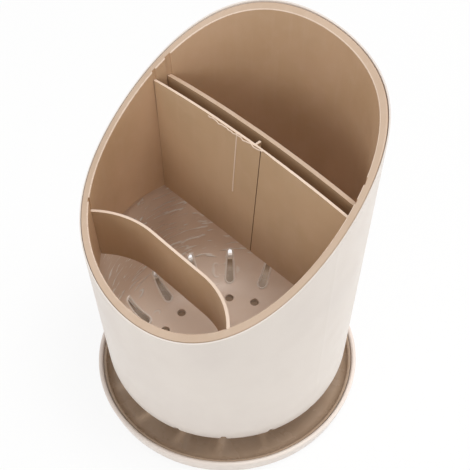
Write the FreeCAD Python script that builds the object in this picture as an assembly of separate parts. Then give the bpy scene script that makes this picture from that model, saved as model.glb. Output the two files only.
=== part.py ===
# Utensil holder: a drained pot with a slanting mouth, an organizer ring hung in its rim with
# slide-in dividers, and a drip tray below. Millimetres, +Z up, origin under the tray's centre,
# +Y towards the high side of the mouth.
import FreeCAD, Part
import math
import os

# Pot
POT_RADIUS = 66.0  # outside, at the top of the rounded bottom
POT_WALL = 2.2
CORNER_RADIUS = 28.0  # outside radius of the rounded bottom
WALL_LEAN = 2.15  # degrees outward from upright
RIM_FENCE = 0.6  # wall left outside the step in the rim

# Mouth: height above the pot's underside, as a mean and waves round the axis
MOUTH_MEAN = 149.7
MOUTH_WAVES = (
    # waves in one turn, rise at the back, rise at the left
    (1, 46.8, 1.4),
    (2, -1.6, -2.4),
    (3, -3.1, 3.3),
    (4, -0.3, 0.1),
)

# Drains in the rounded bottom: a hole and a tapering slot on each spoke
DRAIN_COUNT = 16
HOLE_OUTSET = 2.0  # of the holes from the flat bottom's edge
HOLE_DIAMETER = 5.2
SLOT_START = 27.5  # degrees round the corner, from straight down
SLOT_END = 75.0
SLOT_START_WIDTH = 4.8
SLOT_END_WIDTH = 2.8

# Organizer ring, hung by its flange in the step of the pot's rim
RING_GAP = 0.3  # between the ring and the pot's wall
RING_WALL = 1.8
RING_DEPTH = 65.0  # of the ring's lower edge below the mouth's mean height
FLANGE_THICKNESS = 2.0
FLANGE_GAP = 0.25  # round the flange, inside the rim's fence
FLANGE_SEAT_GAP = 0.3  # between the flange and the step
FLANGE_PROUD = 0.1  # of the flange above the rim
FLANGE_ROUND = 0.6

# Dividers, held by their ends in upright grooves of the ring
GROOVE_DEPTH = 0.6
DIVIDER_GAP = 0.3  # round a divider's end in its groove
GROOVE_LEDGE = 3.0  # height of the grooves' closed lower end
SLOT_FRONT = 15.4  # rear face of the front knife wall, behind the axis
KNIFE_SLOT = 5.9  # clear width between the knife walls
KNIFE_RISE_LEFT = 4.8  # arched top edge of the knife walls, above the mouth's mean height
KNIFE_RISE_MIDDLE = 7.7
KNIFE_RISE_RIGHT = 2.3
FRONT_WALL_THICKNESS = 1.3  # at the top
FRONT_WALL_FOOT = 2.5  # at the lower edge
REAR_WALL_THICKNESS = 2.2
WITNESS_LEAN = 4.0  # degrees, of the seam and the bead on the front wall's face
SEAM_OFFSET = 10.0  # of the seam's top to the right of the middle
SEAM_WIDTH = 0.5
SEAM_DEPTH = 0.35
BEAD_OFFSET = 5.6  # of the bead's top to the left of the middle
BEAD_WIDTH = 0.6
BEAD_HEIGHT = 0.2
BEAD_LENGTH = 39.0
SPACER_OFFSET = 4.5  # of the spacer rib from the middle
SPACER_THICKNESS = 1.2
SPACER_REACH = 4.0  # into the knife slot
SPACER_DROP = 1.5  # of the rib's top below the front wall's top
WAVE_DROP_LEFT = 32.7  # arched top edge of the wave divider, below the mouth's mean height
WAVE_DROP_MIDDLE = 35.8
WAVE_DROP_RIGHT = 35.4
WAVE_THICKNESS = 1.5
WAVE_LINE = 30.5  # middle of the plate, in front of the axis
WAVE_STRAIGHT = 36.0  # length of the straight middle
WAVE_BEND_RADIUS = 42.4

# Drip tray and its liner
TRAY_MARGIN = 7.8  # of the tray's rim outside the pot's wall
TRAY_FLARE = 2.2  # of the tray's wall from its foot to its rim
TRAY_HEIGHT = 9.8
TRAY_RIM_WIDTH = 2.5
TRAY_FLOOR = 2.0
TRAY_ROUND = 1.1
ROUND_SHARE = 0.45  # most of the rim's width that one rounding takes
LINER_THICKNESS = 1.5
LINER_GAP = 0.3  # between the liner and the tray's wall
LINER_CORNER = 4.0
LINER_SETDOWN = 1.6  # of the liner's edge below the tray's rim

# Sizes worked out from those above
LEAN = math.radians(WALL_LEAN)
POT_BASE = TRAY_FLOOR + LINER_THICKNESS
RING_BOTTOM = MOUTH_MEAN - RING_DEPTH
KNIFE_TOP_LEFT = MOUTH_MEAN + KNIFE_RISE_LEFT
KNIFE_TOP_MIDDLE = MOUTH_MEAN + KNIFE_RISE_MIDDLE
KNIFE_TOP_RIGHT = MOUTH_MEAN + KNIFE_RISE_RIGHT
WAVE_TOP_LEFT = MOUTH_MEAN - WAVE_DROP_LEFT
WAVE_TOP_MIDDLE = MOUTH_MEAN - WAVE_DROP_MIDDLE
WAVE_TOP_RIGHT = MOUTH_MEAN - WAVE_DROP_RIGHT
CORNER_CENTRE = POT_RADIUS - CORNER_RADIUS / math.cos(LEAN)
RIM_STEP = FLANGE_SEAT_GAP + FLANGE_THICKNESS - FLANGE_PROUD
FLANGE_INSET = RIM_FENCE + FLANGE_GAP
RING_OUTER_INSET = POT_WALL + RING_GAP
RING_INNER_INSET = RING_OUTER_INSET + RING_WALL
FRONT_WALL_FACE = SLOT_FRONT - FRONT_WALL_THICKNESS
REAR_WALL_FRONT = SLOT_FRONT + KNIFE_SLOT
TRAY_RIM_RADIUS = POT_RADIUS + TRAY_MARGIN
BLANK_TOP = MOUTH_MEAN + sum(abs(back) + abs(left) for _, back, left in MOUTH_WAVES) + POT_RADIUS
REACH = 2 * POT_RADIUS  # past the outside of everything
MOUTH_MARGIN = 1.2  # half width of the mouth's surface, over the wall's radius
MOUTH_GRID = 9  # surface points each way from the middle
SLOT_SECTIONS = 6

Vector = FreeCAD.Vector
UP = Vector(0, 0, 1)


def wall_radius(height, inset=0.0):
    """Radius of the pot's outer wall, or of a surface set in from it."""
    straight = POT_RADIUS + (height - CORNER_RADIUS) * math.tan(LEAN)
    return straight - inset / math.cos(LEAN)


def mouth_height(x, y):
    """Height of the mouth's surface above the pot's underside."""
    spoke = complex(y, -x) / wall_radius(MOUTH_MEAN)
    waves = ((spoke ** turns, back, left) for turns, back, left in MOUTH_WAVES)
    return MOUTH_MEAN + sum(back * wave.real + left * wave.imag for wave, back, left in waves)


def above_mouth(lift):
    """Everything above the mouth's surface, raised by lift."""
    reach = MOUTH_MARGIN * wall_radius(BLANK_TOP)
    line = [reach * step / MOUTH_GRID for step in range(-MOUTH_GRID, MOUTH_GRID + 1)]
    surface = Part.BSplineSurface()
    surface.interpolate([[Vector(x, y, mouth_height(x, y) + lift) for y in line] for x in line])
    return surface.toShape().extrude(UP * 2 * BLANK_TOP)


def rounded_outline(corners):
    """Closed wire in the XZ plane through (x, z, radius) corners, each rounded by its radius."""
    edges = []
    ends = []
    for index, (x, z, radius) in enumerate(corners):
        here = Vector(x, 0, z)
        before = Vector(corners[index - 1][0], 0, corners[index - 1][1])
        after_corner = corners[(index + 1) % len(corners)]
        after = Vector(after_corner[0], 0, after_corner[1])
        to_before = (before - here).normalize()
        to_after = (after - here).normalize()
        half = to_before.getAngle(to_after) / 2
        setback = radius / math.tan(half)
        start = here + to_before * setback
        finish = here + to_after * setback
        if radius > 0:
            inward = (to_before + to_after).normalize()
            middle = here + inward * (radius / math.sin(half) - radius)
            edges.append(Part.Arc(start, middle, finish).toShape())
        ends.append((start, finish))
    for index, (_, finish) in enumerate(ends):
        start = ends[(index + 1) % len(ends)][0]
        edges.append(Part.makeLine(finish, start))
    return Part.Wire(Part.__sortEdges__(edges))


def turned(corners):
    """Solid turned about the Z axis from an outline of (radius, height, rounding) corners."""
    return Part.Face(rounded_outline(corners)).revolve(Vector(), UP, 360)


def bowl(inset):
    """Filled shape of the pot, set in from its outside."""
    corner = CORNER_RADIUS - inset
    return turned([
        (0, inset, 0),
        (wall_radius(inset, inset), inset, corner),
        (wall_radius(BLANK_TOP, inset), BLANK_TOP, 0),
        (0, BLANK_TOP, 0),
    ])


def wall_tube(outer_inset, inner_inset, bottom, top):
    """Tube that follows the pot's leaning wall."""
    return turned([
        (wall_radius(bottom, inner_inset), bottom, 0),
        (wall_radius(bottom, outer_inset), bottom, 0),
        (wall_radius(top, outer_inset), top, 0),
        (wall_radius(top, inner_inset), top, 0),
    ])


def wall_core(inset, bottom, top):
    """Filled cone inside the pot's leaning wall."""
    return turned([
        (0, bottom, 0),
        (wall_radius(bottom, inset), bottom, 0),
        (wall_radius(top, inset), top, 0),
        (0, top, 0),
    ])


def spokes(shape):
    """The shape, repeated on every drain's spoke."""
    turns = [360.0 * index / DRAIN_COUNT for index in range(DRAIN_COUNT)]
    return [shape.rotated(Vector(), UP, turn) for turn in turns]


def corner_point(angle, depth, across):
    """Point on a ray from the rounded corner's centre, for the spoke along +X."""
    return Vector(
        CORNER_CENTRE + depth * math.sin(angle),
        across,
        CORNER_RADIUS - depth * math.cos(angle),
    )


def drain_slot():
    """Cutter of one slot: wide and round at its lower end, narrow and round at its upper end."""
    near = CORNER_RADIUS - 2 * POT_WALL
    far = CORNER_RADIUS + POT_WALL
    inner_radius = CORNER_RADIUS - POT_WALL
    start = math.radians(SLOT_START) + SLOT_START_WIDTH / 2 / inner_radius
    end = math.radians(SLOT_END) - SLOT_END_WIDTH / 2 / inner_radius
    sections = []
    for index in range(SLOT_SECTIONS):
        share = index / (SLOT_SECTIONS - 1)
        angle = start + (end - start) * share
        half = (SLOT_START_WIDTH + (SLOT_END_WIDTH - SLOT_START_WIDTH) * share) / 2
        corners = [
            corner_point(angle, near, -half),
            corner_point(angle, far, -half),
            corner_point(angle, far, half),
            corner_point(angle, near, half),
        ]
        sections.append(Part.makePolygon(corners + corners[:1]))
    cutter = Part.makeLoft(sections, True, True)
    for angle, width in ((start, SLOT_START_WIDTH), (end, SLOT_END_WIDTH)):
        base = corner_point(angle, near, 0)
        along = corner_point(angle, far, 0) - base
        cutter = cutter.fuse(Part.makeCylinder(width / 2, along.Length, base, along))
    return cutter


def drain_hole():
    """Cutter of one round hole."""
    base = Vector(CORNER_CENTRE + HOLE_OUTSET, 0, -POT_WALL)
    return Part.makeCylinder(HOLE_DIAMETER / 2, 4 * POT_WALL, base, UP)


def outer_pot():
    """Pot with a step inside its rim for the ring's flange, and drains."""
    shell = bowl(0).cut(bowl(POT_WALL)).cut(above_mouth(0))
    step = wall_core(RIM_FENCE, 0, BLANK_TOP).common(above_mouth(-RIM_STEP))
    return shell.cut([step] + spokes(drain_slot()) + spokes(drain_hole()))


def block(x_from, x_to, y_from, y_to, z_from, z_to):
    corner = Vector(x_from, y_from, z_from)
    return Part.makeBox(x_to - x_from, y_to - y_from, z_to - z_from, corner)


def seated(plate, tongue):
    """Divider trimmed to the ring's bore, with the tongue's ends reaching into the grooves."""
    bore = wall_core(RING_INNER_INSET + DIVIDER_GAP, 0, BLANK_TOP)
    groove = wall_core(RING_INNER_INSET - GROOVE_DEPTH + DIVIDER_GAP, RING_BOTTOM + GROOVE_LEDGE, BLANK_TOP)
    return plate.common(bore).fuse(tongue.common(groove)).removeSplitter()


def above_arch(left_height, middle_height, right_height):
    """Everything above an arc across the ring, through its heights at the wall and in the middle."""
    half = wall_radius(middle_height, RING_INNER_INSET)
    left = Vector(-half, -REACH, left_height)
    middle = Vector(0, -REACH, middle_height)
    right = Vector(half, -REACH, right_height)
    sky = Part.makePolygon([right, Vector(half, -REACH, BLANK_TOP), Vector(-half, -REACH, BLANK_TOP), left])
    outline = Part.Wire([Part.Arc(left, middle, right).toShape()] + sky.Edges)
    return Part.Face(outline).extrude(Vector(0, 2 * REACH, 0))


def above_knife_walls():
    return above_arch(KNIFE_TOP_LEFT, KNIFE_TOP_MIDDLE, KNIFE_TOP_RIGHT)


def leaning_band(offset, width, length):
    """Block that runs down from the front wall's top, leaning to the left as it goes."""
    top = Vector(offset, 0, KNIFE_TOP_MIDDLE)
    band = block(offset - width / 2, offset + width / 2, -REACH, REACH, top.z - length, BLANK_TOP)
    return band.rotate(top, Vector(0, 1, 0), WITNESS_LEAN)


def front_wall_plate():
    """Front knife wall before trimming: a thick foot, a thin top, a fine seam and a low bead."""
    foot = SLOT_FRONT - FRONT_WALL_FOOT
    profile = Part.makePolygon([
        Vector(-REACH, foot, RING_BOTTOM),
        Vector(-REACH, SLOT_FRONT, RING_BOTTOM),
        Vector(-REACH, SLOT_FRONT, KNIFE_TOP_MIDDLE),
        Vector(-REACH, FRONT_WALL_FACE, KNIFE_TOP_MIDDLE),
        Vector(-REACH, foot, RING_BOTTOM),
    ])
    plate = Part.Face(profile).extrude(Vector(2 * REACH, 0, 0))
    skin = plate.cut(plate.translated(Vector(0, SEAM_DEPTH, 0)))
    raised = plate.translated(Vector(0, -BEAD_HEIGHT, 0))
    seam = skin.common(leaning_band(SEAM_OFFSET, SEAM_WIDTH, REACH))
    bead = raised.common(leaning_band(-BEAD_OFFSET, BEAD_WIDTH, BEAD_LENGTH))
    return plate.cut(seam).fuse(bead)


def knife_front_wall():
    tongue = block(-REACH, REACH, FRONT_WALL_FACE, SLOT_FRONT, RING_BOTTOM, KNIFE_TOP_MIDDLE)
    ends = tongue.cut(wall_core(RING_INNER_INSET + 2 * DIVIDER_GAP, 0, BLANK_TOP))
    wall = seated(front_wall_plate(), ends).cut(above_knife_walls())
    spacer = block(
        SPACER_OFFSET - SPACER_THICKNESS / 2, SPACER_OFFSET + SPACER_THICKNESS / 2,
        SLOT_FRONT, SLOT_FRONT + SPACER_REACH,
        RING_BOTTOM, KNIFE_TOP_MIDDLE - SPACER_DROP,
    )
    return wall.fuse(spacer).removeSplitter()


def knife_rear_wall():
    rear = REAR_WALL_FRONT + REAR_WALL_THICKNESS
    plate = block(-REACH, REACH, REAR_WALL_FRONT, rear, RING_BOTTOM, KNIFE_TOP_MIDDLE)
    return seated(plate, plate).cut(above_knife_walls())


def wave_plate(thickness, bottom, top):
    """Bent plate before trimming: a straight middle and a quarter turn to the front at each end."""
    half = WAVE_STRAIGHT / 2
    bend_y = -WAVE_LINE - WAVE_BEND_RADIUS
    plate = block(-half, half, -WAVE_LINE - thickness / 2, -WAVE_LINE + thickness / 2, bottom, top)
    for side, turn in ((1, 0), (-1, 90)):
        centre = Vector(side * half, bend_y, bottom)
        outer = Part.makeCylinder(WAVE_BEND_RADIUS + thickness / 2, top - bottom, centre, UP, 90)
        inner = Part.makeCylinder(WAVE_BEND_RADIUS - thickness / 2, top - bottom, centre, UP, 90)
        plate = plate.fuse(outer.cut(inner).rotate(centre, UP, turn))
    return plate


def wave_divider():
    top = max(WAVE_TOP_LEFT, WAVE_TOP_MIDDLE, WAVE_TOP_RIGHT)
    plate = wave_plate(WAVE_THICKNESS, RING_BOTTOM, top)
    return seated(plate, plate).cut(above_arch(WAVE_TOP_LEFT, WAVE_TOP_MIDDLE, WAVE_TOP_RIGHT))


def groove_cutters():
    """Upright grooves for the dividers' ends, open at the top."""
    bottom = RING_BOTTOM + GROOVE_LEDGE - DIVIDER_GAP
    front = FRONT_WALL_FACE - DIVIDER_GAP
    rear = REAR_WALL_FRONT + REAR_WALL_THICKNESS + DIVIDER_GAP
    slots = [
        block(-REACH, REACH, front, SLOT_FRONT + DIVIDER_GAP, bottom, BLANK_TOP),
        block(-REACH, REACH, REAR_WALL_FRONT - DIVIDER_GAP, rear, bottom, BLANK_TOP),
        wave_plate(WAVE_THICKNESS + 2 * DIVIDER_GAP, bottom, BLANK_TOP),
    ]
    reach = wall_core(RING_INNER_INSET - GROOVE_DEPTH, 0, BLANK_TOP)
    return [slot.common(reach) for slot in slots]


def above_by(edge):
    """Height of an edge's middle above the mouth's surface."""
    middle = edge.valueAt((edge.FirstParameter + edge.LastParameter) / 2)
    return middle.z - mouth_height(middle.x, middle.y)


def organizer_ring():
    """Floorless ring inside the pot, with a flange in the step of the pot's rim."""
    ring = wall_tube(FLANGE_INSET, RING_INNER_INSET, RING_BOTTOM, BLANK_TOP)
    ring = ring.cut(above_mouth(FLANGE_PROUD))
    flange_bottom = FLANGE_PROUD - FLANGE_THICKNESS
    under_flange = wall_tube(-POT_WALL, RING_OUTER_INSET, 0, BLANK_TOP).cut(above_mouth(flange_bottom))
    ring = ring.cut(under_flange)
    ring = ring.makeFillet(FLANGE_ROUND, [edge for edge in ring.Edges if above_by(edge) > flange_bottom / 2])
    return ring.cut(groove_cutters())


def tray_wall(height, inset):
    """Radius of the tray's flaring wall, or of a surface set in from it."""
    return TRAY_RIM_RADIUS - TRAY_FLARE * (1 - height / TRAY_HEIGHT) - inset


def drip_tray():
    rim_round = min(TRAY_ROUND, ROUND_SHARE * TRAY_RIM_WIDTH)
    return turned([
        (0, 0, 0),
        (tray_wall(0, 0), 0, rim_round),
        (tray_wall(TRAY_HEIGHT, 0), TRAY_HEIGHT, rim_round),
        (tray_wall(TRAY_HEIGHT, TRAY_RIM_WIDTH), TRAY_HEIGHT, rim_round),
        (tray_wall(TRAY_FLOOR, TRAY_RIM_WIDTH), TRAY_FLOOR, 0),
        (0, TRAY_FLOOR, 0),
    ])


def tray_liner():
    outer = TRAY_RIM_WIDTH + LINER_GAP
    inner = outer + LINER_THICKNESS
    edge = TRAY_HEIGHT - LINER_SETDOWN
    return turned([
        (0, TRAY_FLOOR, 0),
        (tray_wall(TRAY_FLOOR, outer), TRAY_FLOOR, 0),
        (tray_wall(edge, outer), edge, 0),
        (tray_wall(edge, inner), edge, LINER_THICKNESS / 2),
        (tray_wall(POT_BASE, inner), POT_BASE, LINER_CORNER),
        (0, POT_BASE, 0),
    ])


def main():
    os.makedirs("parts", exist_ok=True)
    on_liner = Vector(0, 0, POT_BASE)
    pieces = {
        "drip_tray": drip_tray(),
        "tray_liner": tray_liner(),
        "outer_pot": outer_pot().translated(on_liner),
        "organizer_ring": organizer_ring().translated(on_liner),
        "knife_front_wall": knife_front_wall().translated(on_liner),
        "knife_rear_wall": knife_rear_wall().translated(on_liner),
        "wave_divider": wave_divider().translated(on_liner),
    }
    for name, shape in pieces.items():
        print(name, shape.isValid(), len(shape.Solids), round(shape.Volume / 1000, 2), "cm3")
        shape.exportStep("parts/" + name + ".step")


main()
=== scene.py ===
import math

import bpy
from mathutils import Matrix, Vector


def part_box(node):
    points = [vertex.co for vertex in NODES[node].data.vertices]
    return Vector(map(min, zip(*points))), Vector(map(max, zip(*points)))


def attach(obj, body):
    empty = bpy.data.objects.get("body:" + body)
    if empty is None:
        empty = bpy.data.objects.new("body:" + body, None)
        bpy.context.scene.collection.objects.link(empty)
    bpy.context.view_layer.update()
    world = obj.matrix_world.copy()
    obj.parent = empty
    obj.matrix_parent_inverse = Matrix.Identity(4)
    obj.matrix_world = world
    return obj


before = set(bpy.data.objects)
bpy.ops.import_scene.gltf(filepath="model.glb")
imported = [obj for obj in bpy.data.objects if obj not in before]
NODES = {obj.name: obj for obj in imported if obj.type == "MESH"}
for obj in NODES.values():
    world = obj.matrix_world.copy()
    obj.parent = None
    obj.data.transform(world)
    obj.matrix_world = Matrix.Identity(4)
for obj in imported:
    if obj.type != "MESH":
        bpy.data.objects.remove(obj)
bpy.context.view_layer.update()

POT_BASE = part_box("outer_pot")[0].z
RING_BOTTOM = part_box("organizer_ring")[0].z
KNIFE_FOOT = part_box("knife_front_wall")[0].z
KNIFE_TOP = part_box("knife_front_wall")[1].z

# Camera, fitted to the photograph, with pixels in its frame of 470 by 470
IMAGE_SIDE = 470
FOCAL_PIXELS = 900.0
IMAGE_CENTRE = (240.07, 236.12)
VIEW_TURN = math.radians(46.26)
VIEW_DOWN = math.radians(47.84)
VIEW_ROLL = math.radians(-0.24)
VIEW_DISTANCE = 0.44542
TARGET_RIGHT = 0.00757
TARGET_HEIGHT = 0.1023  # above the pot's underside
SENSOR = 36.0

# Light
WORLD_LEVEL = 0.64
LAMPS = (  # name, power, size, place
    ("top", 9.0, 0.5, (0.25, 0.22, 1.45)),
    ("right", 5.0, 0.8, (0.9, 1.1, 0.6)),
    ("front", 3.5, 0.8, (0.1, -1.4, 0.5)),
)
AIM = (0, 0, 0.1)
WHITE = (1, 1, 1, 1)
FLOOR_SIZE = 6.0
FLOOR_COLOUR = (0.85, 0.85, 0.84, 1)
FLOOR_ROUGHNESS = 0.9
FLOOR_WHITENESS = 0.88  # share of plain white in what the camera sees of the floor

# Pot, as in its solid
POT_RADIUS = 0.066
POT_WALL = 0.0022
CORNER_RADIUS = 0.028
LEAN = math.radians(2.15)
CORNER_CENTRE = POT_RADIUS - CORNER_RADIUS / math.cos(LEAN)
CORNER_INSIDE = CORNER_RADIUS - POT_WALL

# Drains
DRAIN_COUNT = 16
SLOT_START = math.radians(27.5)
SLOT_END = math.radians(75.0)
SLOT_START_WIDTH = 0.0048
SLOT_END_WIDTH = 0.0028
LIP_RADIUS = 0.0006
LIP_OFFSET = 0.0004  # of the lip's middle from the slot's edge
LIP_ARC_STEPS = 8
LIP_SIDE_STEPS = 10

# Ring and dividers
LOOKS_UP = 0.2  # least upward part of the normal of a top face
FLANGE_EDGE = 0.0039  # start of the flange's inner round, in from the pot's outside
WALL_FACE_TOP = 0.0141  # front face of the front knife wall, behind the axis
WALL_FACE_FOOT = 0.0129
WITNESS_DEPTH = 0.0001  # least depth or height of a seam or bead on that face
SEAM_REACH = 0.0006  # most depth of the seam
SEAM_REGION = 0.03  # part of the wall either side of the middle that can hold the seam
EDGE_ROUND = 0.0002  # on the dividers' edges
EDGE_ANGLE = math.radians(40)
EDGE_SEGMENTS = 3

# Moulding flash along the front knife wall's top edge
FLASH_FROM = -0.025
FLASH_TO = 0.011
FLASH_REACH = 0.0009
FLASH_DIP = 0.0005
FLASH_ARCH = 0.6  # fall of the top edge over the square of the distance from the middle
FLASH_MEAN = 0.5  # share of the reach and dip
FLASH_SWING = 0.25
FLASH_WAVES = ((17, 0.4), (53, 0), (29, 1))  # radians over its length, and start
FLASH_FADE = 0.5  # power of the half wave that fades its ends
FLASH_STEPS = 90
FLASH_RADIUS = 0.00028
BEAD_ROUNDNESS = 3

# Plastics: two tones that drift into each other, and the tint of the mottle over them
OFF_WHITE = ((0.775, 0.705, 0.645), (0.745, 0.675, 0.62), (0.80, 0.735, 0.67))
TRAY_WHITE = ((0.80, 0.70, 0.635), (0.77, 0.685, 0.62), (0.84, 0.76, 0.69))
# Painted bounce light: the pot's inside warmer and lighter than its off-white outside
POT_INSIDE_PAINTED_BOUNCE = ((0.87, 0.725, 0.61), (0.835, 0.685, 0.565), (0.90, 0.775, 0.68))
# Painted highlight: the drain lips paler than the pot's own plastic
DRAIN_LIP_HIGHLIGHT = ((0.93, 0.85, 0.78), (0.90, 0.81, 0.73), (0.95, 0.89, 0.83))
TAN_WALL = ((0.60, 0.393, 0.243), (0.55, 0.355, 0.207), (0.635, 0.445, 0.30))
# Painted sheen: the paler, greyer tan of the flange's top and of the rear knife wall's top
TAN_RIM_SHEEN = ((0.575, 0.425, 0.31), (0.53, 0.385, 0.275), (0.65, 0.52, 0.42))
# Painted highlight: the paler tan of lit top faces, of the flange's inner round and of the moulding flash
TAN_EDGE_HIGHLIGHT = ((0.80, 0.64, 0.515), (0.75, 0.585, 0.46), (0.86, 0.73, 0.63))
TAN_PLATE = ((0.56, 0.375, 0.225), (0.51, 0.34, 0.20), (0.60, 0.42, 0.28))
# Painted shadow: dark brown down in the seam of the front knife wall
SEAM_PAINTED_SHADOW = ((0.22, 0.125, 0.065), (0.17, 0.095, 0.05), (0.28, 0.17, 0.1))
LINER_TAN = ((0.42, 0.305, 0.215), (0.37, 0.265, 0.185), (0.48, 0.365, 0.28))

# Single marks
# Painted shade: the darker, browner tone of the pot's inner wall above its floor
INNER_WALL_PAINTED_SHADE = (0.72, 0.56, 0.44)
SCUFF_TONE = (0.97, 0.92, 0.86)
WATER_MARK_TONE = (0.62, 0.52, 0.44)
GREY_SPECK = (0.55, 0.48, 0.42)
PALE_SPECK = (0.75, 0.66, 0.6)
DARK_SPECK = (0.16, 0.09, 0.045)

# Patterns: scale per metre, noise levels between which a mark sets in, and its full share
CLOUD_SCALE = 22.0
CLOUD_LEVELS = (0.36, 0.66)
MOTTLE_SCALE = 160.0
MOTTLE_LEVELS = (0.45, 0.8)
MOTTLE_SHARE = 0.22
WAVINESS_SCALE = 45.0
WAVINESS_HEIGHT = 0.0006
GRAIN_SCALE = 1900.0
GLOSS_SCALE = 85.0
GLOSS_LEVELS = (0.3, 0.7)
FLOW_SCALE = 260.0
FLOW_LEVELS = (0.5, 0.78)
FLOW_SHARE = 0.16
FLOW_SQUEEZE = 0.06  # of the height, which draws the flow streaks out upright
WATER_MARK_SCALE = 34.0
WATER_MARK_LEVELS = (0.52, 0.66)
WATER_MARK_SHARE = 0.12
SPECK_CORE = 0.4  # full part of a speck, as a share of its size

# Inside of the pot
INNER_WALL_SHADE_HEIGHTS = (0.012, 0.045)  # where the wall's painted shade sets in
INNER_WALL_SHADE_SHARE = 0.85
SCUFF_HEIGHT = 0.0004
SCUFF_ALONG = 230.0  # squeezes the scuffs' pattern up the wall
SCUFF_AROUND = 2.4  # draws it out round the pot
SCUFF_SCALE = 1.3
NOISE_MIDDLE = 0.5
SCUFF_LINE = (0.045, 0.015)  # distance from the noise's middle at a scuff's edge and core
SCUFF_BREAK_SCALE = 1.9
SCUFF_BREAK_LEVELS = (0.48, 0.56)
SCUFF_LEFT = (0.25, 0.62)  # shares of the pot's radius, to the left, where scuffs set in
SCUFF_FROM_AXIS = (0.044, 0.056)  # distances from the axis where they set in
SCUFF_HEIGHTS = (RING_BOTTOM + 0.006, RING_BOTTOM - 0.004)  # none above the first, all below the second

# Sockets of a colour mix
MIX_INPUTS = (0, 6, 7)
MIX_OUTPUT = 2


class Paint:
    """Node tree of one plastic, built step by step."""

    def __init__(self, name):
        self.material = bpy.data.materials.new(name)
        self.material.use_nodes = True
        self.tree = self.material.node_tree
        self.shader = self.tree.nodes["Principled BSDF"]
        self.place = self.tree.nodes.new("ShaderNodeTexCoord").outputs["Object"]

    def put(self, socket, value):
        """Links a value that varies over the surface, or sets one that doesn't."""
        if isinstance(value, bpy.types.NodeSocket):
            self.tree.links.new(value, socket)
        elif socket.type == "RGBA":
            socket.default_value = (*value, 1)
        else:
            socket.default_value = value

    def math(self, operation, first, second=0.0):
        node = self.tree.nodes.new("ShaderNodeMath")
        node.operation = operation
        self.put(node.inputs[0], first)
        self.put(node.inputs[1], second)
        return node.outputs[0]

    def noise(self, scale, detail, place=None):
        node = self.tree.nodes.new("ShaderNodeTexNoise")
        self.put(node.inputs["Vector"], place or self.place)
        self.put(node.inputs["Scale"], scale)
        self.put(node.inputs["Detail"], detail)
        return node.outputs["Fac"]

    def stretch(self, value, low, high, to_low=0.0, to_high=1.0):
        """Smooth step of a value from one range to another."""
        node = self.tree.nodes.new("ShaderNodeMapRange")
        node.interpolation_type = "SMOOTHSTEP"
        for index, number in enumerate((value, low, high, to_low, to_high)):
            self.put(node.inputs[index], number)
        return node.outputs[0]

    def mix(self, share, first, second):
        node = self.tree.nodes.new("ShaderNodeMix")
        node.data_type = "RGBA"
        for index, value in zip(MIX_INPUTS, (share, first, second)):
            self.put(node.inputs[index], value)
        return node.outputs[MIX_OUTPUT]

    def axes(self):
        node = self.tree.nodes.new("ShaderNodeSeparateXYZ")
        self.put(node.inputs[0], self.place)
        return node.outputs

    def joined(self, x, y, z=0.0):
        node = self.tree.nodes.new("ShaderNodeCombineXYZ")
        for index, value in enumerate((x, y, z)):
            self.put(node.inputs[index], value)
        return node.outputs[0]

    def bump(self, height, distance, under=None):
        node = self.tree.nodes.new("ShaderNodeBump")
        self.put(node.inputs["Height"], height)
        self.put(node.inputs["Distance"], distance)
        if under:
            self.put(node.inputs["Normal"], under)
        return node.outputs["Normal"]

    def specks(self, scale, size, share):
        """1 in a few small dots, 0 elsewhere."""
        cells = self.tree.nodes.new("ShaderNodeTexVoronoi")
        self.put(cells.inputs["Vector"], self.place)
        self.put(cells.inputs["Scale"], scale)
        parts = self.tree.nodes.new("ShaderNodeSeparateColor")
        self.put(parts.inputs[0], cells.outputs["Color"])
        chosen = self.math("GREATER_THAN", parts.outputs[0], 1 - share)
        near = self.stretch(cells.outputs["Distance"], size, SPECK_CORE * size)
        return self.math("MULTIPLY", chosen, near)

    def finish(self, colour, roughness, normal):
        self.put(self.shader.inputs["Base Color"], colour)
        self.put(self.shader.inputs["Roughness"], roughness)
        self.put(self.shader.inputs["Normal"], normal)
        return self.material


def moulded_colour(paint, first, second, tint):
    """Two tones in soft clouds, with a finer mottle of a tint over them."""
    clouds = paint.stretch(paint.noise(CLOUD_SCALE, detail=3.0), *CLOUD_LEVELS)
    colour = paint.mix(clouds, first, second)
    mottle = paint.stretch(paint.noise(MOTTLE_SCALE, detail=4.0), *MOTTLE_LEVELS, to_high=MOTTLE_SHARE)
    return paint.mix(mottle, colour, tint)


def moulded_skin(paint, grain):
    """Slow waviness of a moulded wall under a fine satin grain."""
    wavy = paint.bump(paint.noise(WAVINESS_SCALE, detail=1.0), WAVINESS_HEIGHT)
    return paint.bump(paint.noise(GRAIN_SCALE, detail=3.0), grain, wavy)


def moulded_roughness(paint, middle, spread):
    """Roughness that varies softly either side of its middle."""
    gloss = paint.noise(GLOSS_SCALE, detail=5.0)
    return paint.stretch(gloss, *GLOSS_LEVELS, middle - spread, middle + spread)


def off_white():
    """Satin off-white of the pot's outside, with a few grey specks."""
    paint = Paint("off_white")
    colour = moulded_colour(paint, *OFF_WHITE)
    colour = paint.mix(paint.specks(scale=70.0, size=0.012, share=0.03), colour, GREY_SPECK)
    roughness = moulded_roughness(paint, middle=0.42, spread=0.06)
    return paint.finish(colour, roughness, moulded_skin(paint, grain=0.00004))


def tray_white():
    """Warmer, glossier off-white of the tray."""
    paint = Paint("tray_white")
    roughness = moulded_roughness(paint, middle=0.34, spread=0.06)
    return paint.finish(moulded_colour(paint, *TRAY_WHITE), roughness, moulded_skin(paint, grain=0.00003))


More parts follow.
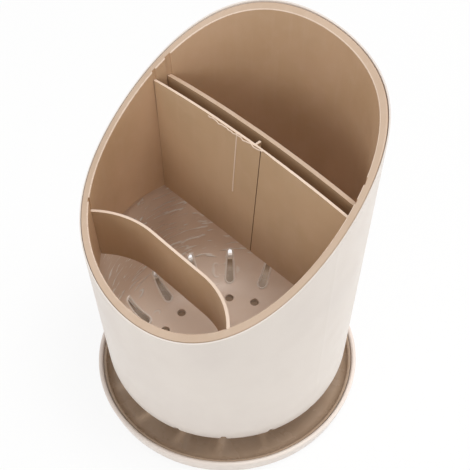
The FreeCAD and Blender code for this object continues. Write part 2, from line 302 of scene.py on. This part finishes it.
def scuffs(paint):
    """Streaks round the left of the pot, from its floor's edge up to the ring."""
    axes = paint.axes()
    squares = [paint.math("MULTIPLY", axis, axis) for axis in axes[:2]]
    across = paint.math("SQRT", paint.math("ADD", *squares))
    around = paint.math("MULTIPLY", paint.math("ARCTAN2", axes[1], axes[0]), SCUFF_AROUND)
    along = paint.math("MULTIPLY", paint.math("SUBTRACT", axes[2], across), SCUFF_ALONG)
    place = paint.joined(around, along)
    level = paint.math("SUBTRACT", paint.noise(SCUFF_SCALE, 1.0, place), NOISE_MIDDLE)
    marks = paint.stretch(paint.math("ABSOLUTE", level), *SCUFF_LINE)
    broken = paint.stretch(paint.noise(SCUFF_BREAK_SCALE, 2.0, place), *SCUFF_BREAK_LEVELS)
    left = paint.stretch(paint.math("MULTIPLY", axes[0], -1 / POT_RADIUS), *SCUFF_LEFT)
    off_floor = paint.stretch(across, *SCUFF_FROM_AXIS)
    below_ring = paint.stretch(axes[2], *SCUFF_HEIGHTS)
    for mask in (broken, left, off_floor, below_ring):
        marks = paint.math("MULTIPLY", marks, mask)
    return marks


def pot_inside_painted_light():
    """Inner face of the pot, painted warmer and lighter than its outside as bounce light and darker up
    its wall as painted shade, scuffed by utensils low on its wall.
    """
    paint = Paint("pot_inside_painted_light")
    colour = moulded_colour(paint, *POT_INSIDE_PAINTED_BOUNCE)
    # Painted shade: the inner wall darker and browner than the floor, rising with height
    up_wall_shade = paint.stretch(paint.axes()[2], *INNER_WALL_SHADE_HEIGHTS, to_high=INNER_WALL_SHADE_SHARE)
    colour = paint.mix(up_wall_shade, colour, INNER_WALL_PAINTED_SHADE)
    marks = scuffs(paint)
    colour = paint.mix(marks, colour, SCUFF_TONE)
    colour = paint.mix(paint.specks(scale=110.0, size=0.02, share=0.06), colour, PALE_SPECK)
    scored = paint.bump(marks, SCUFF_HEIGHT, moulded_skin(paint, grain=0.00004))
    return paint.finish(colour, moulded_roughness(paint, middle=0.36, spread=0.07), scored)


def drain_lip_highlight():
    """Pale plastic of the lips round the drains, paler than the pot as painted highlight on their rounds.
    """
    paint = Paint("drain_lip_highlight")
    roughness = moulded_roughness(paint, middle=0.34, spread=0.05)
    return paint.finish(moulded_colour(paint, *DRAIN_LIP_HIGHLIGHT), roughness, moulded_skin(paint, grain=0.00003))


def tan(name, tones, roughness):
    """Tan plastic with upright flow streaks and a few dark specks."""
    paint = Paint(name)
    colour = moulded_colour(paint, *tones)
    axes = paint.axes()
    upright = paint.joined(axes[0], axes[1], paint.math("MULTIPLY", axes[2], FLOW_SQUEEZE))
    flow = paint.stretch(paint.noise(FLOW_SCALE, 3.0, upright), *FLOW_LEVELS, to_high=FLOW_SHARE)
    colour = paint.mix(flow, colour, tones[2])
    colour = paint.mix(paint.specks(scale=85.0, size=0.035, share=0.035), colour, DARK_SPECK)
    varied = moulded_roughness(paint, middle=roughness, spread=0.07)
    return paint.finish(colour, varied, moulded_skin(paint, grain=0.00005))


def liner_tan():
    """Duller tan of the tray's liner, with faint water marks."""
    paint = Paint("liner_tan")
    colour = moulded_colour(paint, *LINER_TAN)
    water = paint.noise(WATER_MARK_SCALE, detail=6.0)
    marks = paint.stretch(water, *WATER_MARK_LEVELS, to_high=WATER_MARK_SHARE)
    colour = paint.mix(marks, colour, WATER_MARK_TONE)
    roughness = moulded_roughness(paint, middle=0.26, spread=0.08)
    return paint.finish(colour, roughness, moulded_skin(paint, grain=0.00004))


def wall_depth(point):
    """Depth of a point below the pot's outer surface."""
    across = math.hypot(point.x, point.y)
    height = point.z - POT_BASE
    if height > CORNER_RADIUS:
        outside = POT_RADIUS + (height - CORNER_RADIUS) * math.tan(LEAN)
        return (outside - across) * math.cos(LEAN)
    if across > CORNER_CENTRE:
        return CORNER_RADIUS - math.hypot(across - CORNER_CENTRE, CORNER_RADIUS - height)
    return height


def knife_face_depth(point):
    """Depth of a point behind the leaning front face of the front knife wall."""
    share = (point.z - KNIFE_FOOT) / (KNIFE_TOP - KNIFE_FOOT)
    return point.y - WALL_FACE_FOOT - (WALL_FACE_TOP - WALL_FACE_FOOT) * share


def dress(name, *materials):
    """Gives a node its materials, the first one on all its faces."""
    mesh = NODES[name].data
    mesh.materials.clear()
    for material in materials:
        mesh.materials.append(material)
    return mesh


def light_top(mesh):
    """Gives the faces that look up the second material, whose paler tone is painted highlight and sheen
    on the lit tops.
    """
    for face in mesh.polygons:
        face.material_index = int(face.normal.z > LOOKS_UP)


def dress_pot():
    """Off-white outside, and an inside painted warmer and lighter as bounce light."""
    mesh = dress("outer_pot", off_white(), pot_inside_painted_light())
    for face in mesh.polygons:
        face.material_index = int(wall_depth(face.center) > POT_WALL / 2)


def dress_ring(wall, rim, edge):
    """Flange painted a paler tone as sheen on its lit top, with a painted highlight line along its inner
    round.
    """
    mesh = dress("organizer_ring", wall, rim, edge)
    light_top(mesh)
    for face in mesh.polygons:
        if face.material_index and wall_depth(face.center) > FLANGE_EDGE:
            face.material_index = 2


def dress_front_wall(plate, edge):
    """Painted highlight on the top edge and witness bead, and a painted shadow line down in the seam."""
    mesh = dress("knife_front_wall", plate, edge, tan("seam_painted_shadow", SEAM_PAINTED_SHADOW, roughness=0.6))
    light_top(mesh)
    for face in mesh.polygons:
        depths = [knife_face_depth(mesh.vertices[index].co) for index in face.vertices]
        # Proud faces get the painted highlight, and faces just down in the seam get the painted shadow
        if min(depths) < -WITNESS_DEPTH:
            face.material_index = 1
        elif WITNESS_DEPTH < max(depths) < SEAM_REACH and abs(face.center.x) < SEAM_REGION:
            face.material_index = 2


def round_edges(name):
    """Small rounds along a divider's sharp edges."""
    rounds = NODES[name].modifiers.new("rounds", "BEVEL")
    rounds.width = EDGE_ROUND
    rounds.segments = EDGE_SEGMENTS
    rounds.limit_method = "ANGLE"
    rounds.angle_limit = EDGE_ANGLE
    rounds.harden_normals = True


def bead_mesh(name, paths, radius, closed):
    """Round bead along each path of points."""
    curve = bpy.data.curves.new(name, "CURVE")
    curve.dimensions = "3D"
    curve.bevel_depth = radius
    curve.bevel_resolution = BEAD_ROUNDNESS
    curve.use_fill_caps = not closed
    for path in paths:
        spline = curve.splines.new("POLY")
        spline.points.add(len(path) - 1)
        for point, place in zip(spline.points, path):
            point.co = (*place, 1)
        spline.use_cyclic_u = closed
    holder = bpy.data.objects.new(name + ".path", curve)
    mesh = bpy.data.meshes.new_from_object(holder)
    bpy.data.objects.remove(holder)
    mesh.name = name
    return mesh


def add_piece(mesh, material, body):
    """Adds a mesh as a piece that moves with a body."""
    mesh.materials.clear()
    mesh.materials.append(material)
    mesh.shade_smooth()
    piece = bpy.data.objects.new(mesh.name, mesh)
    bpy.context.scene.collection.objects.link(piece)
    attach(piece, body)


def on_corner(angle, across):
    """Point on the inner face of the pot's rounded corner, for the spoke along +X."""
    return Vector((
        CORNER_CENTRE + CORNER_INSIDE * math.sin(angle),
        across,
        POT_BASE + CORNER_RADIUS - CORNER_INSIDE * math.cos(angle),
    ))


def round_end(middle, reach, first_turn):
    """Half circle round one end of a slot, from a first turn in half circles.

    Its points are angles round the corner and places across the slot.
    """
    turns = [math.pi * (first_turn - step / LIP_ARC_STEPS) for step in range(LIP_ARC_STEPS + 1)]
    return [(middle + reach * math.cos(turn) / CORNER_INSIDE, reach * math.sin(turn)) for turn in turns]


def between(first, last):
    """Evenly spaced points between two corners of an outline."""
    shares = [step / LIP_SIDE_STEPS for step in range(1, LIP_SIDE_STEPS)]
    return [tuple(a + (b - a) * share for a, b in zip(first, last)) for share in shares]


def slot_outline():
    """Closed line round one drain slot, set off a little from its edge."""
    start_half = SLOT_START_WIDTH / 2
    end_half = SLOT_END_WIDTH / 2
    upper_middle = SLOT_END - end_half / CORNER_INSIDE
    lower_middle = SLOT_START + start_half / CORNER_INSIDE
    upper = round_end(upper_middle, end_half + LIP_OFFSET, first_turn=0.5)
    lower = round_end(lower_middle, start_half + LIP_OFFSET, first_turn=1.5)
    line = upper + between(upper[-1], lower[0]) + lower + between(lower[-1], upper[0])
    return [on_corner(angle, across) for angle, across in line]


def add_drain_lips():
    """Raised lip round each drain slot, inside the pot."""
    outline = slot_outline()
    turns = [Matrix.Rotation(2 * math.pi * index / DRAIN_COUNT, 3, "Z") for index in range(DRAIN_COUNT)]
    paths = [[turn @ point for point in outline] for turn in turns]
    mesh = bead_mesh("drain_lips", paths, LIP_RADIUS, closed=True)
    add_piece(mesh, drain_lip_highlight(), "pot")


def flash_point(share):
    """Point of the flash's uneven line, from its left end at 0 to its right end at 1."""
    x = FLASH_FROM + (FLASH_TO - FLASH_FROM) * share
    slow, fast, middle = (math.sin(turn * share + start) for turn, start in FLASH_WAVES)
    uneven = FLASH_MEAN + FLASH_SWING * (slow * fast + middle)
    fade = math.sin(math.pi * share) ** FLASH_FADE
    y = WALL_FACE_TOP - FLASH_REACH * uneven * fade
    z = KNIFE_TOP - FLASH_RADIUS - FLASH_DIP * uneven - FLASH_ARCH * x * x
    return Vector((x, y, z))


def add_flash(material):
    """Thread of moulding flash on the front edge of the front knife wall's top."""
    path = [flash_point(step / FLASH_STEPS) for step in range(FLASH_STEPS + 1)]
    mesh = bead_mesh("mould_flash", [path], FLASH_RADIUS, closed=False)
    add_piece(mesh, material, "front_wall")


def dress_object():
    """Materials of all nodes, and the small pieces that the solids leave out."""
    # Paler tan tones painted as highlight and sheen on lit edges and tops
    edge = tan("tan_edge_highlight", TAN_EDGE_HIGHLIGHT, roughness=0.34)
    rim = tan("tan_rim_sheen", TAN_RIM_SHEEN, roughness=0.36)
    plate = tan("tan_plate", TAN_PLATE, roughness=0.42)
    dress_pot()
    dress_ring(tan("tan_wall", TAN_WALL, roughness=0.44), rim, edge)
    dress("drip_tray", tray_white())
    dress("tray_liner", liner_tan())
    dress_front_wall(plate, edge)
    light_top(dress("knife_rear_wall", plate, rim))
    light_top(dress("wave_divider", plate, edge))
    for name in ("knife_front_wall", "knife_rear_wall", "wave_divider"):
        round_edges(name)
    add_drain_lips()
    # The flash takes the painted highlight of the top edges
    add_flash(edge)


def add_camera():
    """Camera at the photograph's angle."""
    right = Vector((math.cos(VIEW_TURN), math.sin(VIEW_TURN), 0))
    level = Vector((-math.sin(VIEW_TURN), math.cos(VIEW_TURN), 0))
    ahead = level * math.cos(VIEW_DOWN) - Vector((0, 0, math.sin(VIEW_DOWN)))
    up = right.cross(ahead)
    across = right * math.cos(VIEW_ROLL) + up * math.sin(VIEW_ROLL)
    above = up * math.cos(VIEW_ROLL) - right * math.sin(VIEW_ROLL)
    target = right * TARGET_RIGHT + Vector((0, 0, TARGET_HEIGHT + POT_BASE))
    place = Matrix((across, above, -ahead)).transposed().to_4x4()
    place.translation = target - ahead * VIEW_DISTANCE
    data = bpy.data.cameras.new("camera")
    data.sensor_width = SENSOR
    data.lens = SENSOR * FOCAL_PIXELS / IMAGE_SIDE
    data.shift_x = (IMAGE_SIDE / 2 - IMAGE_CENTRE[0]) / IMAGE_SIDE
    data.shift_y = (IMAGE_CENTRE[1] - IMAGE_SIDE / 2) / IMAGE_SIDE
    camera = bpy.data.objects.new("camera", data)
    camera.matrix_world = place
    bpy.context.scene.collection.objects.link(camera)
    bpy.context.scene.camera = camera


def add_lamp(name, power, size, place):
    """Soft square lamp that faces the object."""
    data = bpy.data.lights.new(name, "AREA")
    data.energy = power
    data.size = size
    lamp = bpy.data.objects.new(name, data)
    lamp.location = place
    lamp.rotation_euler = (Vector(AIM) - Vector(place)).to_track_quat("-Z", "Y").to_euler()
    bpy.context.scene.collection.objects.link(lamp)


def larger(tree, first, second):
    """The larger of two values."""
    node = tree.nodes.new("ShaderNodeMath")
    node.operation = "MAXIMUM"
    tree.links.new(first, node.inputs[0])
    tree.links.new(second, node.inputs[1])
    return node.outputs[0]


def seen_directly(tree):
    """1 for camera, mirror and glass rays, and 0 for the rest of the light."""
    rays = tree.nodes.new("ShaderNodeLightPath").outputs
    mirrored = larger(tree, rays["Is Camera Ray"], rays["Is Glossy Ray"])
    return larger(tree, mirrored, rays["Is Transmission Ray"])


def show_instead(tree, lit, seen, output):
    """Shows one shader to rays that look straight at it, and lights the scene with the other."""
    mix = tree.nodes.new("ShaderNodeMixShader")
    tree.links.new(seen_directly(tree), mix.inputs["Fac"])
    tree.links.new(lit.outputs[0], mix.inputs[1])
    tree.links.new(seen.outputs[0], mix.inputs[2])
    tree.links.new(mix.outputs[0], tree.nodes[output].inputs["Surface"])


def add_world():
    """Even light from all sides, seen as plain white."""
    world = bpy.data.worlds.new("studio")
    world.use_nodes = True
    tree = world.node_tree
    lit = tree.nodes["Background"]
    lit.inputs["Color"].default_value = WHITE
    lit.inputs["Strength"].default_value = WORLD_LEVEL
    seen = tree.nodes.new("ShaderNodeBackground")
    seen.inputs["Color"].default_value = WHITE
    show_instead(tree, lit, seen, "World Output")
    bpy.context.scene.world = world


def add_floor():
    """Pale floor that is almost plain white to the camera and keeps a faint shadow."""
    bpy.ops.mesh.primitive_plane_add(size=FLOOR_SIZE, location=(0, 0, 0))
    floor = bpy.context.object
    floor.name = "floor"
    material = bpy.data.materials.new("floor")
    material.use_nodes = True
    tree = material.node_tree
    lit = tree.nodes["Principled BSDF"]
    lit.inputs["Base Color"].default_value = FLOOR_COLOUR
    lit.inputs["Roughness"].default_value = FLOOR_ROUGHNESS
    white = tree.nodes.new("ShaderNodeEmission")
    white.inputs["Color"].default_value = WHITE
    whitened = tree.nodes.new("ShaderNodeMixShader")
    whitened.inputs["Fac"].default_value = FLOOR_WHITENESS
    tree.links.new(lit.outputs[0], whitened.inputs[1])
    tree.links.new(white.outputs[0], whitened.inputs[2])
    show_instead(tree, lit, whitened, "Material Output")
    floor.data.materials.append(material)


bpy.context.scene.view_settings.view_transform = "Standard"
add_camera()
add_world()
add_floor()
for lamp in LAMPS:
    add_lamp(*lamp)
dress_object()
